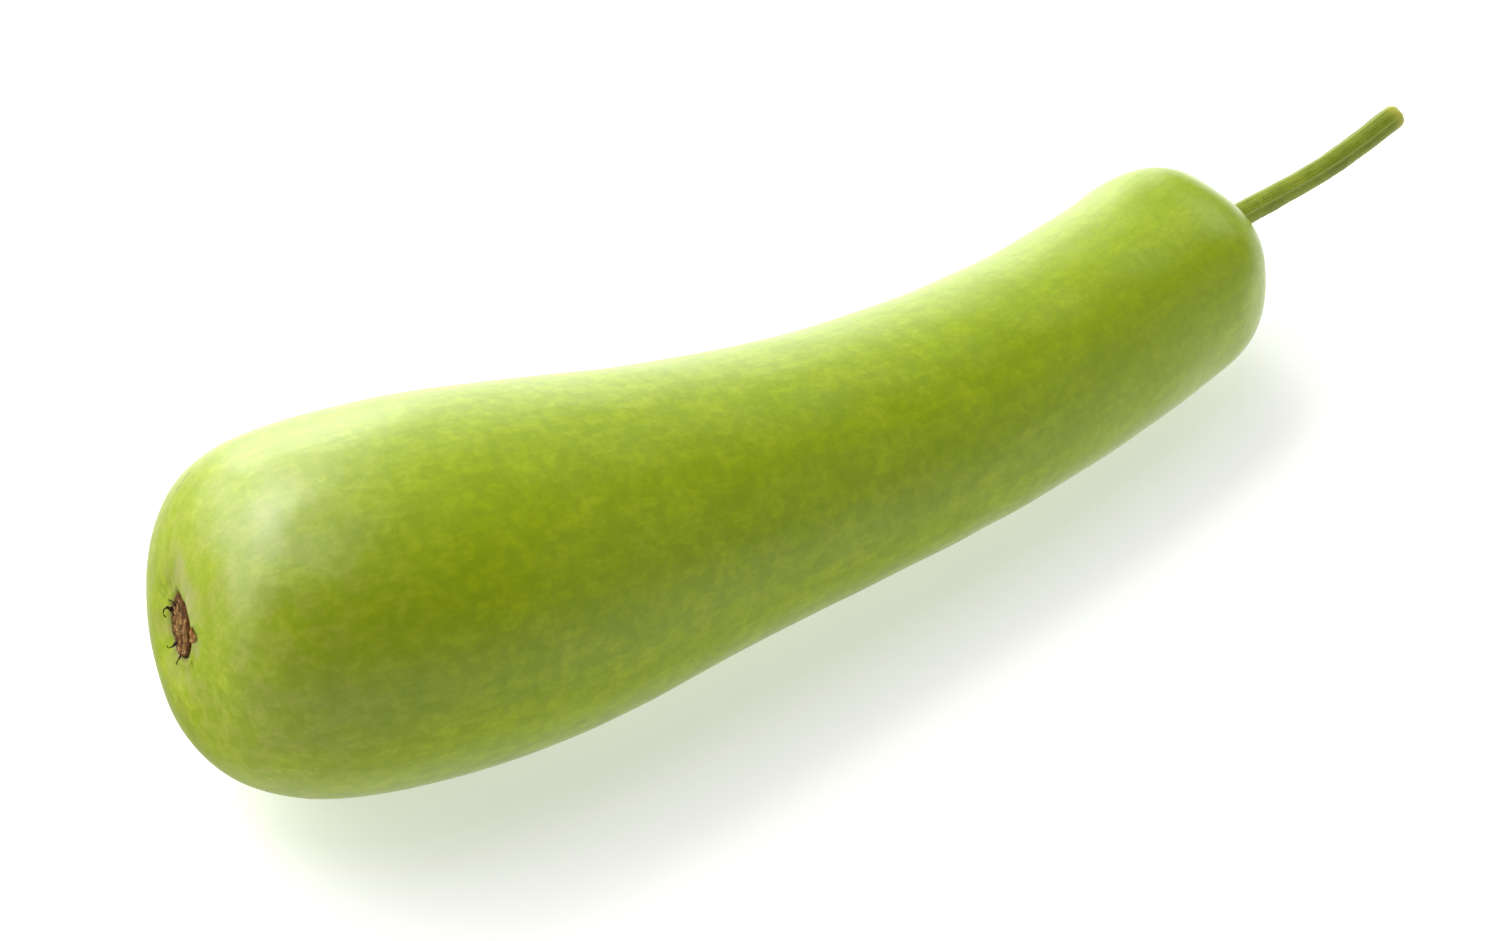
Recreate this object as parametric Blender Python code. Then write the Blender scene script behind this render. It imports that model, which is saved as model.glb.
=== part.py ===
"""A bottle gourd as picked, lying on its side: the fruit, its cut stem and its blossom scar.

Lengths in the driving dimensions are millimetres. +X runs from the blossom end to the stem end, +Z is up,
and the gourd rests on z = 0 with the origin under the centre of its outline.
"""

import math

import bmesh
import bpy
import numpy as np
from mathutils import Matrix, Vector
from mathutils.geometry import interpolate_bezier

MM = 0.001
GAP = 0.3

# The fruit's centre line, as the five control points of one smooth curve from blossom end to stem end
SPINE = [
    (0.0, 0.0, 59.6),
    (74.4, -16.2, 44.2),
    (213.6, -25.5, 37.6),
    (231.0, -29.9, 31.3),
    (341.0, 0.0, 30.4),
]

# The fruit's radius along that line: the blunt belly, the taper and the neck's rounded shoulder
BELLY_AT = 61.4
BELLY_RADIUS = 50.0
TAPER_AT = 138.9
TAPER_RADIUS = 41.4
TAPER_SLOPE = -0.142
NECK_AT = 283.5
NECK_RADIUS = 31.9
SHOULDER_AT = 315.4
SHOULDER_RADIUS = 31.2
BLOSSOM_END_HANDLE = 44.1
BELLY_HANDLE = 39.6
SHOULDER_HANDLE = 21.9
STEM_END_HANDLE = 17.5

# Both ends lean a little off the centre line
BLOSSOM_LEAN_ASIDE = 0.9
BLOSSOM_LEAN_RAISED = 1.2
STEM_LEAN_ASIDE = 0.8
STEM_LEAN_FROM = 295.0

# Low swellings that keep the fruit from being round: two sides along it all, five ribs near the stem
OVAL_SHARE = 0.016
RIB_COUNT = 5
RIB_SHARE = 0.025
RIB_TURN = math.radians(-3)
RIB_FADE_AT = 305.0
RIB_FADE = 12.0

# Where the fruit lies on the surface, two small flats are pressed into its underside
REST_DEPTH = 0.8

# The blossom scar, beside the very end of the fruit and turned a little, on a shallow flat seat
SCAR_ASIDE = -4.1
SCAR_RAISED = 4.5
SCAR_TURN_ASIDE = math.radians(5)
SCAR_TURN_DOWN = math.radians(4)
SCAR_ROLL = math.radians(40)
SCAR_RADIUS = 7.8
SCAR_SUNK = 1.2
SCAR_PROUD = 1.0
SCAR_LIP = 0.4
SCAR_POINT = 0.16
SCAR_POINT_AT = math.radians(86)
SCAR_POINT_WIDTH = math.radians(16)
SCAR_LOPSIDED = 0.08
SCAR_LOPSIDED_TO = math.radians(205)
SCAR_CORNERS = 0.02
SCAR_DIP = 2.2
SCAR_SEAT_WIDTH = 14.0

# Dried threads of the flower on the scar's edge: clock angle, then how far each next control point of
# its curve stands off the edge, in the scar's own frame
THREADS = [
    (146, [(-0.4, 2.2, 2.6), (-0.7, -1.2, 3.8), (-0.4, -2.1, 2.2)]),
    (128, [(-0.3, 0.3, 0.9), (-0.5, 0.5, 1.2), (-0.7, 0.8, 1.5)]),
    (210, [(-0.3, -0.7, 1.6), (-0.5, -1.2, 2.2), (-0.6, 0.1, 2.1)]),
    (250, [(-0.1, -0.6, 1.0), (-0.2, -1.6, 1.4), (-0.3, -2.6, 1.8)]),
    (38, [(0.2, 0.2, 0.9), (0.4, 0.4, 1.3), (0.6, 0.7, 1.7)]),
]
THREAD_RADIUS = 0.36
THREAD_TIP_RADIUS = 0.2
THREAD_ROOT_DEPTH = 1.4

# The stem: its line runs level at first, then rises to a slanted cut. Its control points are (along, up)
STEM_HEADING = math.radians(2)
STEM_LINE = [(0.0, 0.6), (24.0, 1.4), (44.0, 0.4), (57.0, 8.2), (68.5, 10.2)]
STEM_RADIUS = 3.45
STEM_END_RADIUS = 3.95
STEM_COLLAR_RADIUS = 4.6
STEM_COLLAR_LENGTH = 5.0
STEM_ROOT_DEPTH = 4.0
STEM_LENGTH = 70.0
STEM_RIBS = 5
STEM_RIB_SHARE = 0.10
STEM_RIB_SHARPNESS = 3
STEM_TWIST = math.radians(18)
STEM_CUT_TILT = math.radians(20)
STEM_CUT_BEVEL = 0.5
STEM_DIP = 1.0
STEM_SEAT_WIDTH = 10.0

# How finely each surface is cut
FRUIT_SIDES = 48
FRUIT_RINGS = (12, 8, 10, 5, 10)
FINE_RINGS = (200, 1, 1, 1, 1)
STEM_SIDES = 30
STEM_RINGS = 26
SCAR_SIDES = 32
THREAD_SIDES = 6
THREAD_RINGS = 8
CUTTER_SIDES = 32
SPINE_SAMPLES = 400


def clear_scene():
    for obj in list(bpy.data.objects):
        bpy.data.objects.remove(obj, do_unlink=True)


def material(name, colour, roughness):
    made = bpy.data.materials.new(name)
    made.use_nodes = True
    shader = made.node_tree.nodes["Principled BSDF"]
    shader.inputs["Base Color"].default_value = (*colour, 1.0)
    shader.inputs["Roughness"].default_value = roughness
    shader.inputs["Metallic"].default_value = 0.0
    return made


def curve_points(controls, samples):
    """Points of the smooth curve that its control points pull on, by Bernstein weights."""
    controls = np.array(controls, float)
    degree = len(controls) - 1
    t = np.linspace(0.0, 1.0, samples)[:, None]
    weights = [math.comb(degree, i) * (1 - t) ** (degree - i) * t**i for i in range(degree + 1)]
    return sum(w * c for w, c in zip(weights, controls))


class Path:
    """A smooth line in space that gives its point, direction, side and upward vectors by distance."""

    def __init__(self, points):
        steps = np.linalg.norm(np.diff(points, axis=0), axis=1)
        self.points = points
        self.distance = np.concatenate([[0.0], np.cumsum(steps)])
        directions = np.gradient(points, axis=0)
        self.directions = directions / np.linalg.norm(directions, axis=1)[:, None]
        self.length = self.distance[-1]

    def at(self, along):
        point = np.array([np.interp(along, self.distance, self.points[:, k]) for k in range(3)])
        ahead = np.array([np.interp(along, self.distance, self.directions[:, k]) for k in range(3)])
        ahead /= np.linalg.norm(ahead)
        side = np.cross((0.0, 0.0, 1.0), ahead)
        side /= np.linalg.norm(side)
        return point, ahead, side, np.cross(ahead, side)


def tube_mesh(name, rings):
    """A closed mesh through rings of points, with one face over each end."""
    bm = bmesh.new()
    loops = [[bm.verts.new(Vector(p) * MM) for p in ring] for ring in rings]
    for back, front in zip(loops, loops[1:]):
        for i in range(len(back)):
            j = (i + 1) % len(back)
            bm.faces.new((back[i], back[j], front[j], front[i]))
    bm.faces.new(list(reversed(loops[0])))
    bm.faces.new(loops[-1])
    bmesh.ops.recalc_face_normals(bm, faces=bm.faces)
    mesh = bpy.data.meshes.new(name)
    bm.to_mesh(mesh)
    bm.free()
    return mesh


def add_object(name, mesh, mat, smooth_angle=50.0):
    obj = bpy.data.objects.new(name, mesh)
    bpy.context.scene.collection.objects.link(obj)
    mesh.materials.append(mat)
    mesh.shade_smooth()
    mesh.set_sharp_from_angle(angle=math.radians(smooth_angle))
    return obj


def fruit_profile(length, rings_in_stretches=FRUIT_RINGS):
    """(distance, radius) pairs from the blossom end to the stem end, along curved stretches."""
    third = 1.0 / 3.0
    belly_run = (TAPER_AT - BELLY_AT) * third
    neck_run = (NECK_AT - TAPER_AT) * third
    shoulder_run = (SHOULDER_AT - NECK_AT) * third
    knots = [
        ((0.0, 0.0), (0.0, 1.0), 0.0, BLOSSOM_END_HANDLE),
        ((BELLY_AT, BELLY_RADIUS), (1.0, 0.0), BELLY_HANDLE, belly_run),
        ((TAPER_AT, TAPER_RADIUS), (1.0, TAPER_SLOPE), belly_run, neck_run),
        ((NECK_AT, NECK_RADIUS), (1.0, 0.0), neck_run, shoulder_run),
        ((SHOULDER_AT, SHOULDER_RADIUS), (1.0, 0.0), shoulder_run, SHOULDER_HANDLE),
        ((length, 0.0), (0.0, -1.0), STEM_END_HANDLE, 0.0),
    ]
    profile = []
    for here, there, rings in zip(knots, knots[1:], rings_in_stretches):
        start, end = Vector(here[0]), Vector(there[0])
        handle_on = start + Vector(here[1]).normalized() * here[3]
        handle_back = end - Vector(there[1]).normalized() * there[2]
        stretch = interpolate_bezier(start, handle_on, handle_back, end, rings + 1)
        profile += [(p.x, p.y) for p in stretch[:-1]]
    profile.append((length, 0.0))
    return profile


def swelling(along, angle):
    """The share of the radius that the fruit has at this clock angle."""
    ribs = RIB_SHARE / (1.0 + math.exp((RIB_FADE_AT - along) / RIB_FADE))
    oval = OVAL_SHARE * math.cos(2 * angle)
    return 1.0 + oval + ribs * math.cos(RIB_COUNT * (angle - RIB_TURN))


def skin_point(path, along, radius, angle):
    """The skin's point at a distance along the centre line, a plain radius and a clock angle."""
    point, _, side, up = path.at(along)
    lean = max(1.0 - along / BELLY_AT, 0.0) ** 2
    far_lean = max((along - STEM_LEAN_FROM) / (path.length - STEM_LEAN_FROM), 0.0) ** 2
    centre = point + lean * (side * BLOSSOM_LEAN_ASIDE + up * BLOSSOM_LEAN_RAISED)
    centre = centre + far_lean * side * STEM_LEAN_ASIDE
    reach = radius * swelling(along, angle)
    return centre + reach * (side * math.cos(angle) + up * math.sin(angle))


def fruit_rings(path):
    """The fruit's rings of points. The first and last are its two end points."""
    angles = [2 * math.pi * i / FRUIT_SIDES for i in range(FRUIT_SIDES)]
    return [
        np.array([skin_point(path, along, radius, angle) for angle in angles])
        for along, radius in fruit_profile(path.length)
    ]


def settled_spine():
    """The spine tilted and lowered so that belly and shoulder both press REST_DEPTH into the surface."""
    spine = np.array(SPINE, float)
    for _ in range(6):
        path = Path(curve_points(spine, SPINE_SAMPLES))
        points = np.concatenate(fruit_rings(path))
        middle = spine[-1, 0] / 2
        lows = []
        for half in (points[points[:, 0] < middle], points[points[:, 0] >= middle]):
            lows.append(half[np.argmin(half[:, 2])])
        (x0, _, z0), (x1, _, z1) = lows
        tilt = (z1 - z0) / (x1 - x0)
        spine[:, 2] -= z0 + tilt * (spine[:, 0] - x0) + REST_DEPTH
    return spine


def seated(point, seats):
    """The point drawn softly onto the flat seat under the scar or the stem, where it is near one."""
    for centre, outward, width in seats:
        distance = np.linalg.norm(point - centre)
        height = (point - centre) @ outward
        point = point - outward * height * math.exp(-((distance / width) ** 4))
    return point


def fruit_mesh(path, seats):
    rings = [np.array([seated(point, seats) for point in ring]) for ring in fruit_rings(path)]
    bm = bmesh.new()
    first = bm.verts.new(Vector(rings[0].mean(axis=0)) * MM)
    last = bm.verts.new(Vector(rings[-1].mean(axis=0)) * MM)
    loops = [[bm.verts.new(Vector(p) * MM) for p in ring] for ring in rings[1:-1]]
    for i in range(FRUIT_SIDES):
        j = (i + 1) % FRUIT_SIDES
        bm.faces.new((first, loops[0][j], loops[0][i]))
        bm.faces.new((last, loops[-1][i], loops[-1][j]))
        for back, front in zip(loops, loops[1:]):
            bm.faces.new((back[i], back[j], front[j], front[i]))
    bmesh.ops.recalc_face_normals(bm, faces=bm.faces)
    everything = bm.verts[:] + bm.edges[:] + bm.faces[:]
    bmesh.ops.bisect_plane(bm, geom=everything, plane_co=(0, 0, 0), plane_no=(0, 0, 1), clear_inner=True)
    bmesh.ops.holes_fill(bm, edges=[e for e in bm.edges if e.is_boundary], sides=0)
    bmesh.ops.recalc_face_normals(bm, faces=bm.faces)
    mesh = bpy.data.meshes.new("fruit")
    bm.to_mesh(mesh)
    bm.free()
    return mesh


def scar_spot(path):
    """The centre of the scar's seat, beside the blossom end, and the direction that the scar faces."""
    fine = np.array(fruit_profile(path.length, FINE_RINGS)[: FINE_RINGS[0]])
    radius = math.hypot(SCAR_ASIDE, SCAR_RAISED)
    along = np.interp(radius, fine[:, 1], fine[:, 0])
    spot = skin_point(path, along, radius, math.atan2(SCAR_RAISED, SCAR_ASIDE))
    _, ahead, side, up = path.at(0.0)
    outward = -ahead + side * math.tan(SCAR_TURN_ASIDE) - up * math.tan(SCAR_TURN_DOWN)
    outward /= np.linalg.norm(outward)
    return spot - outward * SCAR_DIP, outward


def frame_at(centre, outward, upward):
    """A matrix whose +Z is outward and whose +Y leans towards upward, at centre, in metres."""
    z = Vector(outward).normalized()
    x = Vector(upward).cross(z).normalized()
    y = z.cross(x)
    turn = Matrix((x, y, z)).transposed().to_4x4()
    return Matrix.Translation(Vector(centre) * MM) @ turn


def scar_outline(angle, radius):
    """The scar's uneven round edge: pointed at the top, flatter on one side, with five faint corners."""
    from_point = math.remainder(angle - SCAR_POINT_AT, 2 * math.pi)
    point = SCAR_POINT * math.exp(-((from_point / SCAR_POINT_WIDTH) ** 2))
    lopsided = SCAR_LOPSIDED * math.cos(angle - SCAR_LOPSIDED_TO)
    corners = SCAR_CORNERS * math.cos(5 * from_point)
    return radius * (1.0 + point + lopsided + corners)


def scar_disc():
    """The corky disc, in its own frame: z = 0 is the skin, and its lip stands round a hollow face."""
    floor = -(SCAR_SUNK - GAP)
    shares = [
        (0.94, floor),
        (1.0, floor + 0.4),
        (1.0, SCAR_PROUD * 0.55),
        (0.93, SCAR_PROUD),
        (0.78, SCAR_PROUD - SCAR_LIP * 0.5),
        (0.5, SCAR_PROUD - SCAR_LIP),
        (0.22, SCAR_PROUD - SCAR_LIP * 0.4),
    ]
    rings = []
    for share, height in shares:
        ring = []
        for i in range(SCAR_SIDES):
            angle = 2 * math.pi * i / SCAR_SIDES
            reach = scar_outline(angle, SCAR_RADIUS) * share
            ring.append((reach * math.cos(angle), reach * math.sin(angle), height))
        rings.append(ring)
    return tube_mesh("blossom_scar", rings)


def thread_mesh(clock, offsets):
    """One dried thread: its root is inside the disc, and its curve leaves the disc's edge."""
    clock = math.radians(clock)
    edge = scar_outline(clock, SCAR_RADIUS * 0.96)
    height = SCAR_PROUD - THREAD_RADIUS * 0.7
    outward = np.array([math.cos(clock), math.sin(clock), 0.0])
    rim = outward * edge + (0.0, 0.0, height)
    controls = [rim - outward * THREAD_ROOT_DEPTH, rim] + [rim + np.array(offset) for offset in offsets]
    path = Path(curve_points(controls, SPINE_SAMPLES))
    rings = []
    for k in range(THREAD_RINGS + 1):
        share = k / THREAD_RINGS
        point, _, side, up = path.at(path.length * share)
        radius = THREAD_RADIUS + (THREAD_TIP_RADIUS - THREAD_RADIUS) * share
        angles = [2 * math.pi * i / THREAD_SIDES for i in range(THREAD_SIDES)]
        rings.append([point + radius * (side * math.cos(a) + up * math.sin(a)) for a in angles])
    return tube_mesh("thread", rings)


def fuse(obj, meshes, mat):
    """Joins loose meshes to an object with one Boolean union, then removes their objects."""
    group = bpy.data.collections.new("fused")
    bpy.context.scene.collection.children.link(group)
    for mesh in meshes:
        mesh.materials.append(mat)
        group.objects.link(bpy.data.objects.new(mesh.name, mesh))
    union = obj.modifiers.new("fuse", "BOOLEAN")
    union.operation = "UNION"
    union.operand_type = "COLLECTION"
    union.collection = group
    union.solver = "EXACT"
    bpy.context.view_layer.objects.active = obj
    bpy.ops.object.modifier_apply(modifier=union.name)
    for loose in list(group.objects):
        bpy.data.objects.remove(loose, do_unlink=True)
    bpy.data.collections.remove(group)


def cut_with(obj, name, mesh, place):
    """Cuts a hidden cutter out of an object."""
    cutter = bpy.data.objects.new(name, mesh)
    bpy.context.scene.collection.objects.link(cutter)
    cutter.matrix_world = place
    cutter.hide_render = True
    cutter.display_type = "WIRE"
    cut = obj.modifiers.new(name, "BOOLEAN")
    cut.operation = "DIFFERENCE"
    cut.solver = "EXACT"
    cut.object = cutter
    return cutter


def scar_socket_mesh():
    """The recess that the scar's disc sits in, a gap wider than the disc all round."""
    rings = []
    for height in (-SCAR_SUNK, BELLY_RADIUS * 0.2):
        ring = []
        for i in range(CUTTER_SIDES):
            angle = 2 * math.pi * i / CUTTER_SIDES
            reach = scar_outline(angle, SCAR_RADIUS) + GAP
            ring.append((reach * math.cos(angle), reach * math.sin(angle), height))
        rings.append(ring)
    return tube_mesh("scar_socket", rings)


def stem_section(along, angle):
    """The stem's radius: a collar at the fruit, then five ribs, widening slowly to the cut."""
    share = max(along, 0.0) / STEM_LENGTH
    radius = STEM_RADIUS + (STEM_END_RADIUS - STEM_RADIUS) * share
    collar = math.exp(-((max(along, 0.0) / STEM_COLLAR_LENGTH) ** 2))
    radius += (STEM_COLLAR_RADIUS - STEM_RADIUS) * collar
    rib = ((1 + math.cos(STEM_RIBS * angle)) / 2) ** STEM_RIB_SHARPNESS
    return radius * (1 - STEM_RIB_SHARE / 2 + STEM_RIB_SHARE * rib * (1 - collar))


def stem_spot(path):
    """Where the stem's line starts, and its level direction there."""
    level = np.array([math.cos(STEM_HEADING), math.sin(STEM_HEADING), 0.0])
    return path.at(path.length)[0], level


def stem_path(root, level):
    """From the bottom of its socket in the fruit's end to the cut end."""
    controls = [root + along * level + np.array([0.0, 0.0, rise]) for along, rise in STEM_LINE]
    line = curve_points(controls, SPINE_SAMPLES)
    return Path(np.concatenate([[line[0] - level * STEM_ROOT_DEPTH], line]))


def stem_mesh(line):
    rings = []
    stations = np.linspace(0.0, line.length, STEM_RINGS)
    for k, distance in enumerate(stations):
        point, ahead, side, up = line.at(distance)
        along = distance - STEM_ROOT_DEPTH
        slant = (k / (STEM_RINGS - 1)) ** 6 * math.tan(STEM_CUT_TILT)
        ring = []
        for i in range(STEM_SIDES):
            angle = 2 * math.pi * i / STEM_SIDES
            reach = stem_section(along, angle - STEM_TWIST * distance / line.length)
            across = reach * (side * math.cos(angle) + up * math.sin(angle))
            ring.append(point + across - ahead * slant * reach * math.sin(angle))
        rings.append(np.array(ring))
    centre = rings[-1].mean(axis=0)
    ahead = line.at(line.length)[1]
    inset = 1 - STEM_CUT_BEVEL / STEM_END_RADIUS
    rings.append(centre + (rings[-1] - centre) * inset + ahead * STEM_CUT_BEVEL)
    return tube_mesh("stem", rings)


def stem_socket_mesh():
    """The plain hole in the fruit that the stem's root stands in."""
    rings = []
    for height in (-(STEM_ROOT_DEPTH + GAP), BELLY_RADIUS * 0.2):
        ring = []
        for i in range(CUTTER_SIDES):
            angle = 2 * math.pi * i / CUTTER_SIDES
            reach = STEM_COLLAR_RADIUS + GAP
            ring.append((reach * math.cos(angle), reach * math.sin(angle), height))
        rings.append(ring)
    return tube_mesh("stem_socket", rings)


def outline_box(objects):
    """The lowest and highest corner of the finished objects, in metres."""
    bpy.context.view_layer.update()
    graph = bpy.context.evaluated_depsgraph_get()
    corners = []
    for obj in objects:
        shown = obj.evaluated_get(graph)
        corners += [shown.matrix_world @ Vector(c) for c in shown.bound_box]
    corners = np.array(corners)
    return corners.min(axis=0), corners.max(axis=0)


def build():
    clear_scene()
    skin = material("gourd_skin", (0.34, 0.46, 0.075), 0.42)
    stalk = material("gourd_stem", (0.20, 0.27, 0.045), 0.55)
    cork = material("dry_blossom_scar", (0.19, 0.095, 0.045), 0.85)

    path = Path(curve_points(settled_spine(), SPINE_SAMPLES))
    scar_centre, scar_out = scar_spot(path)
    root, level = stem_spot(path)
    line = stem_path(root, level)
    seats = [
        (scar_centre, scar_out, SCAR_SEAT_WIDTH),
        (root - level * STEM_DIP, level, STEM_SEAT_WIDTH),
    ]
    fruit = add_object("fruit", fruit_mesh(path, seats), skin, 40.0)
    stem = add_object("stem", stem_mesh(line), stalk)

    scar = add_object("blossom_scar", scar_disc(), cork)
    fuse(scar, [thread_mesh(*thread) for thread in THREADS], cork)
    scar_seat = frame_at(scar_centre, scar_out, (0, 0, 1)) @ Matrix.Rotation(SCAR_ROLL, 4, "Z")
    scar.matrix_world = scar_seat
    stem_seat = frame_at(line.at(STEM_ROOT_DEPTH)[0], level, (0, 0, 1))
    cutters = [
        cut_with(fruit, "scar_socket", scar_socket_mesh(), scar_seat),
        cut_with(fruit, "stem_socket", stem_socket_mesh(), stem_seat),
    ]

    low, high = outline_box([fruit, stem, scar])
    gourd = bpy.data.objects.new("gourd", None)
    bpy.context.scene.collection.objects.link(gourd)
    for obj in [fruit, stem, scar, *cutters]:
        obj.parent = gourd
    gourd.location = (-(low[0] + high[0]) / 2, -(low[1] + high[1]) / 2, 0.0)


build()
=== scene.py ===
"""The looks of the bottle gourd: a mottled waxy skin, a ribbed stem and a dry blossom scar, in a pale studio.

Lengths in the driving dimensions are millimetres, except for the floor and the lights. Most repeat the
solids' own, but the scar's outline and the stem's fine shape differ from them.
"""

import math

import bpy
import numpy as np
from mathutils import Matrix, Vector


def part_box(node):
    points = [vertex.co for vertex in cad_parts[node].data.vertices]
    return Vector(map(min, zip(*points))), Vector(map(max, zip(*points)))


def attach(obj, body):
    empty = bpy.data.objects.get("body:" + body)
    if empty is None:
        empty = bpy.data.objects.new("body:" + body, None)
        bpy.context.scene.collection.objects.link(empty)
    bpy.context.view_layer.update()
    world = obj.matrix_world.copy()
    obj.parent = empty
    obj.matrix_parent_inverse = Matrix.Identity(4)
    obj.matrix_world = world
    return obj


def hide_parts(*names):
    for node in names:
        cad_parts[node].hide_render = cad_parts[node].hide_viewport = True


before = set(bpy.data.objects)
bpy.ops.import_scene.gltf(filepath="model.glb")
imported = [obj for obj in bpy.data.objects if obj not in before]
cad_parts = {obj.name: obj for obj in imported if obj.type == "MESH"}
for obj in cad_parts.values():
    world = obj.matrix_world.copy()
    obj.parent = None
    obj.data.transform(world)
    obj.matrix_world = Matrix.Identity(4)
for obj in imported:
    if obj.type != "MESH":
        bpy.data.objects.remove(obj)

MM = 0.001
TURN = 2 * math.pi
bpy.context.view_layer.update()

# The fruit's centre line, as the five control points of one smooth curve from blossom end to stem end
SPINE = [
    (0.0, 0.0, 59.6),
    (74.4, -16.2, 44.2),
    (213.6, -25.5, 37.6),
    (231.0, -29.9, 31.3),
    (341.0, 0.0, 30.4),
]
SPINE_SAMPLES = 400

# The fruit's radius along that line: the blunt belly, the taper and the neck's rounded shoulder
BELLY_AT = 61.4
BELLY_RADIUS = 50.0
TAPER_AT = 138.9
TAPER_RADIUS = 41.4
TAPER_SLOPE = -0.142
NECK_AT = 283.5
NECK_RADIUS = 31.9
SHOULDER_AT = 315.4
SHOULDER_RADIUS = 31.2
BLOSSOM_END_HANDLE = 44.1
BELLY_HANDLE = 39.6
SHOULDER_HANDLE = 21.9
STEM_END_HANDLE = 17.5

# Both ends lean a little off the centre line
BLOSSOM_LEAN_ASIDE = 0.9
BLOSSOM_LEAN_RAISED = 1.2
STEM_LEAN_ASIDE = 0.8
STEM_LEAN_FROM = 295.0

# Low swellings that keep the fruit from being round: two sides along it all, five ribs near the stem
OVAL_SHARE = 0.016
RIB_COUNT = 5
RIB_SHARE = 0.025
RIB_TURN = math.radians(-3)
RIB_FADE_AT = 305.0
RIB_FADE = 12.0
REST_DEPTH = 0.8

# The solid's own rings, which set how the fruit lies
SOLID_SIDES = 48
SOLID_RINGS = (12, 8, 10, 5, 10)
SOLID_STEM_SIDES = 30

# The blossom scar, beside the very end of the fruit and turned a little, on a shallow flat seat
SCAR_ASIDE = -4.1
SCAR_RAISED = 4.5
SCAR_TURN_ASIDE = math.radians(5)
SCAR_TURN_DOWN = math.radians(4)
SCAR_ROLL = math.radians(40)
SCAR_RADIUS = 7.8
SCAR_SUNK = 1.2
SCAR_FLOOR = -0.9
SCAR_PROUD = 1.0
SCAR_POINT = 0.16
SCAR_POINT_AT = math.radians(86)
SCAR_POINT_WIDTH = math.radians(16)
SCAR_LOPSIDED = 0.08
SCAR_LOPSIDED_TO = math.radians(205)
SCAR_CORNERS = 0.02
SCAR_WIDER = 0.15
SCAR_FOOT = 0.08
SCAR_DIP = 2.2
SCAR_SEAT_WIDTH = 14.0

# Dried threads of the flower on the scar's edge: clock angle, then how far each next control point of
# its curve stands off the edge, in the scar's own frame
THREADS = [
    (148, [(0.4, 2.2, 2.1), (0.0, -0.9, 3.2), (0.3, -2.0, 1.8)]),
    (120, [(-0.3, 0.3, 0.8), (-0.5, 0.4, 1.1), (-0.7, 0.5, 1.4)]),
    (210, [(-0.3, -0.7, 1.6), (-0.5, -1.2, 2.2), (-0.6, 0.1, 2.1)]),
    (257, [(-0.1, -0.5, 1.0), (-0.2, -1.3, 1.4), (-0.3, -2.1, 1.7)]),
]
THREAD_ROOT_SPREADS = [4.2, 0.8, 1.9, 1.6]
THREAD_ROOT_REACH = 0.65
THREAD_RADIUS = 0.27
THREAD_TIP_RADIUS = 0.14
THREAD_ROOT_DEPTH = 1.4
THREAD_ROOT_EDGE = 0.96
THREAD_SUNK_SHARE = 0.7
THREAD_TAPER = (0.2, 0.8)
THREAD_ROUND_TIP = 0.04
THREAD_TIP_LEAST = 0.15
THREAD_WOBBLE = 0.05
THREAD_WOBBLE_LENGTH = 0.8
THREAD_RINGS = 40
THREAD_SIDES = 10
THREAD_FIRST_SEED = 40

# The scar's face: an uneven crust with fine cracks, and one deeper crease that sets off its pointed end.
# The wall's rings are (share of the outline, height). Lumps are (height, wavelength, seed), and cracks
# are (size of the net's cells, width, seed)
CORK_SIDES = 168
CORK_RINGS = 64
CORK_WALL = [
    (0.9, SCAR_FLOOR),
    (1.0, SCAR_FLOOR + 0.3),
    (1.0, -0.1),
    (1.0, 0.3),
    (0.99, 0.6),
    (0.97, 0.85),
    (0.94, 0.98),
]
CORK_FACE = (0.92, 0.02)
CORK_HOLLOW = 0.3
CORK_HOLLOW_FROM = 0.94
CORK_HOLLOW_WIDTH = 0.14
CORK_TOP = (0.0, 0.4)
CORK_LUMPS = [(0.16, 3.2, 31), (0.07, 1.1, 32)]
CORK_CRACKS = [(2.6, 0.14, 33), (4.4, 0.09, 34)]
CORK_CRACK = 0.22
# How strongly the net of cracks takes the painted shade
CORK_CRACK_SHADE_SHARE = 0.8
CORK_CRACKS_WITHIN = (0.85, 0.97)
CREASE = [(-4.4, 6.4), (-1.6, 6.4), (1.4, 5.7), (3.4, 4.6), (4.4, 2.6)]
CREASE_DEPTH = 0.65
CREASE_WIDTH = 0.5

# A papery flake that stands out of the seam beside the scar. Its lobes are (count, share, turn)
FLAKE_CLOCK = math.radians(-9)
FLAKE_REACH = 10.7
FLAKE_LONG = 2.1
FLAKE_WIDE = 2.0
FLAKE_THICK = 0.16
FLAKE_HEIGHT = 0.25
FLAKE_LOBES = [(3, 0.16, 0.7), (5, 0.1, 0.0), (11, 0.06, 0.0)]
FLAKE_SLOPE = 0.1
FLAKE_WAVE = 0.12
FLAKE_WAVE_TURN = 2.6
FLAKE_LUMPS = [(0.07, 1.4, 35)]
FLAKE_SIDES = 40
FLAKE_RINGS = 8
FLAKE_INNER = 0.1
FLAKE_EDGE_LEAST = 0.02

# Marks on the skin. Their ends are (distance along, side, up) from the centre line laid out straight
NICK = ((9.3, 26.1, 24.2), (13.0, 27.5, 28.3))
SPECKS = [
    ((1.0, -14.7, 2.6), (0.9, -15.3, 1.7), 0.3),
    ((0.6, 1.0, -9.6), (0.6, 0.9, -10.0), 0.16),
    ((0.5, 2.6, -8.8), (0.5, 2.5, -9.0), 0.16),
]
GREY_LINES = [
    ((0.3, 6.4, 5.6), (1.0, 15.5, 7.4)),
    ((0.3, 7.6, 4.2), (1.1, 14.0, 3.6)),
    ((0.4, 4.8, 8.6), (1.4, 10.5, 14.0)),
]
PALE_ARC = [(1.9, 2.5, 19.5), (1.9, -4.0, 17.0), (1.9, -11.0, 14.5), (1.9, -14.5, 9.0)]

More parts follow.
